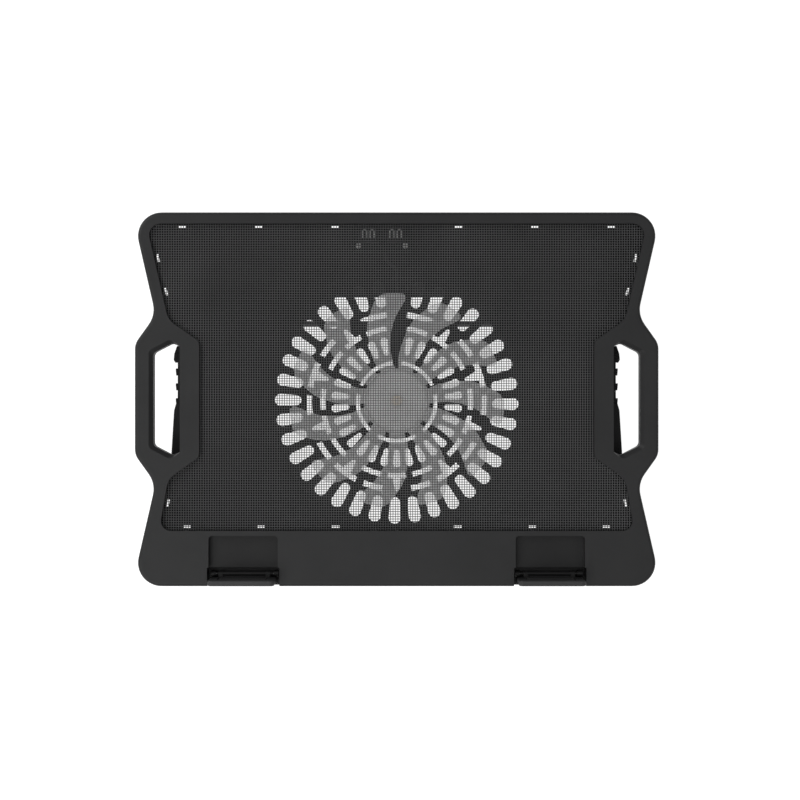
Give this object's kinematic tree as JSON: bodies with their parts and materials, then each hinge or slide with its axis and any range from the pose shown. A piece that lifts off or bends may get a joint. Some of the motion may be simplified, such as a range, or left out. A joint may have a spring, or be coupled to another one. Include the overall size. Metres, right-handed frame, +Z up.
{
  "type": "laptop cooling pad",
  "caption": "Laptop cooling pad with a perforated sheet top, one large axial fan, USB sockets at the rear, flip-up laptop stops and a folding tilt stand.",
  "frame": {"origin": "centre of the footprint at the level of the surface the stand's rubber feet rest on", "axes": "+X to the user's right, +Y to the rear where the USB sockets are, +Z up, with the stand folded flat and the stops up"},
  "size_m": [0.365, 0.2606, 0.0514],
  "materials": {
    "frame_plastic": "fine grain, slightly satin",
    "housing_plastic": "fine grain",
    "sheet_steel": "powder coated black",
    "smoke_plastic": "translucent smoke grey",
    "rubber": "matt",
    "steel": "bright",
    "black_steel": "black oxide",
    "nickel": "nickel plated",
    "brass": "plain",
    "copper": "enamelled winding wire",
    "board": "circuit board with solder mask",
    "magnet": "bonded ferrite",
    "socket_plastic": "moulded",
    "lead_sleeve": "soft PVC"
  },
  "bodies": {
    "stand": {"stand_base": "housing_plastic", "base_hinge_pins": "steel", "stand_feet": "rubber"},
    "pad": {"top_frame": "frame_plastic", "perforated_sheet": "sheet_steel", "bottom_housing": "housing_plastic", "housing_screws": "black_steel", "stop_pin_right": "steel", "stop_pin_left": "steel", "prop_pins": "steel", "stator_core": "steel", "stator_coils": "copper", "motor_board": "board", "bearing_tube": "brass", "bearing_sleeve": "brass", "usb_board": "board", "usb_shells": "nickel", "usb_tongues": "socket_plastic", "usb_contacts": "brass", "usb_board_screws": "nickel", "fan_lead": "lead_sleeve"},
    "prop": {"prop_arm_right": "housing_plastic", "prop_arm_left": "housing_plastic", "prop_rod": "black_steel"},
    "rotor": {"fan_rotor": "smoke_plastic", "rotor_yoke": "nickel", "rotor_magnet": "magnet", "rotor_shaft": "steel"},
    "stop_right": {"laptop_stop_right": "frame_plastic", "stop_strip_right": "rubber"},
    "stop_left": {"laptop_stop_left": "frame_plastic", "stop_strip_left": "rubber"}
  },
  "joints": [
    {"name": "pad_tilt", "type": "hinge", "parent": "stand", "child": "pad", "pos_m": [0, -0.112, 0.009], "axis": [1, 0, 0], "range_deg": [0, 40]},
    {"name": "prop_swing", "type": "hinge", "parent": "pad", "child": "prop", "pos_m": [0, -0.0291, 0.009], "axis": [1, 0, 0], "range_deg": [-80, 0]},
    {"name": "fan_spin", "type": "hinge", "parent": "pad", "child": "rotor", "pos_m": [0, -0.001, 0.022], "axis": [0, 0, 1], "continuous": true},
    {"name": "stop_fold_right", "type": "hinge", "parent": "pad", "child": "stop_right", "pos_m": [0.1069, -0.122, 0.0274], "axis": [-1, 0, 0], "range_deg": [0, 90]},
    {"name": "stop_fold_left", "type": "hinge", "parent": "pad", "child": "stop_left", "pos_m": [-0.1069, -0.122, 0.0274], "axis": [-1, 0, 0], "range_deg": [0, 90]}
  ],
  "couplings": [
    {"joint": "prop_swing", "follows": "pad_tilt", "ratio": -2}
  ]
}
